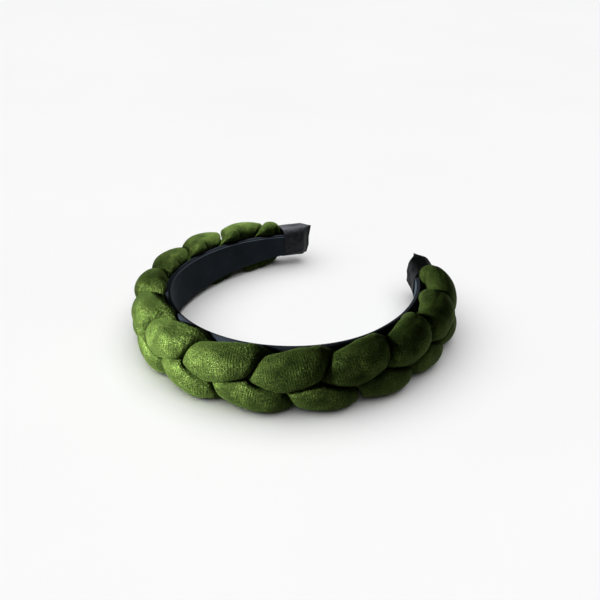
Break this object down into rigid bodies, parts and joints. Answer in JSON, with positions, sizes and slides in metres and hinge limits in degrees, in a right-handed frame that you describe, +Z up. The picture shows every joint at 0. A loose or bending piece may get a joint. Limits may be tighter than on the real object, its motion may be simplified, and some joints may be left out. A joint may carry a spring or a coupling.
{
  "type": "padded headband",
  "caption": "Padded headband: a flexible hoop covered in black fabric carries a plump three-strand velvet plait round its outside and has folded ribbon at each tip.",
  "frame": {"origin": "centre of the box round the headband, on the surface that it lies on", "axes": "+Z up, square to the level plane of the hoop; the crown is towards -Y, the open side towards +Y, and +X to the right"},
  "size_m": [0.1664, 0.1651, 0.03],
  "materials": {
    "hoop_plastic": "plain moulded",
    "cover_fabric": "matt black woven cover",
    "lining_ribbon": "matt black ribbon",
    "hot_glue": "set hot-melt glue",
    "green_velvet": "olive green stretch velvet",
    "white_padding": "soft fibre wadding",
    "lashing_thread": "dark green thread",
    "wrap_ribbon": "black satin ribbon"
  },
  "bodies": {
    "root": {"core_hoop": "hoop_plastic", "hoop_cover": "cover_fabric", "inner_lining": "lining_ribbon", "glue_strip": "hot_glue", "velvet_tube_a": "green_velvet", "velvet_tube_b": "green_velvet", "velvet_tube_c": "green_velvet", "padding_cord_a": "white_padding", "padding_cord_b": "white_padding", "padding_cord_c": "white_padding", "end_lashing_left": "lashing_thread", "end_lashing_right": "lashing_thread", "tip_wrap_left": "wrap_ribbon", "tip_wrap_right": "wrap_ribbon"}
  },
  "joints": []
}
